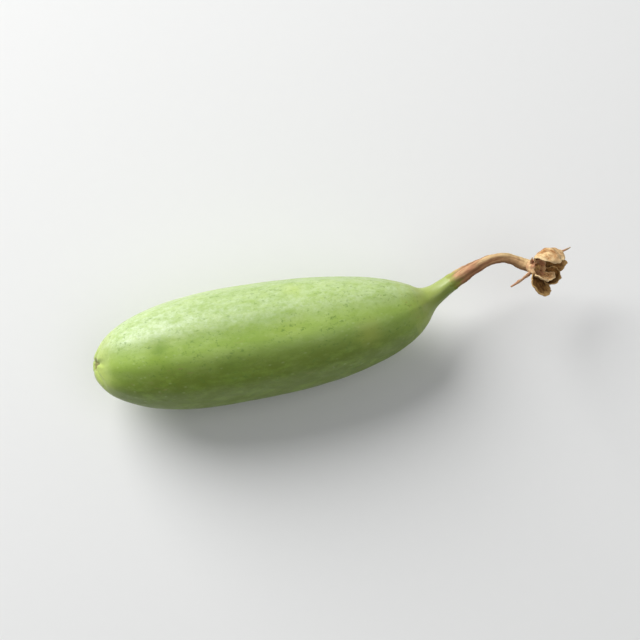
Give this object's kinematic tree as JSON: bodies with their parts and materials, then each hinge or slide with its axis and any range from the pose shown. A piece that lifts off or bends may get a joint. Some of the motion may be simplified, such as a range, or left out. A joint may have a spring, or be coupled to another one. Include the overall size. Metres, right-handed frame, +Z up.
{
  "type": "pointed gourd",
  "caption": "Picked pointed gourd lying on its side: a slim green fruit with a puckered scar at one end and a dried stalk with a withered flower at the other.",
  "frame": {"origin": "middle of the small flat spot that the fruit rests on, straight under its weight", "axes": "+X along the fruit from its scar towards the neck and the flower, +Z up from the surface"},
  "size_m": [0.1221, 0.0295, 0.0289],
  "materials": {
    "gourd_skin": "thin waxy skin with a soft sheen, pale green with faint lengthwise streaks",
    "dried_stalk": "dry, matt, pinkish brown and grooved lengthwise",
    "withered_petal": "papery, matt, crumpled, with paler edges"
  },
  "bodies": {
    "root": {"fruit": "gourd_skin", "dried_stalk": "dried_stalk", "withered_flower": "withered_petal"}
  },
  "joints": []
}
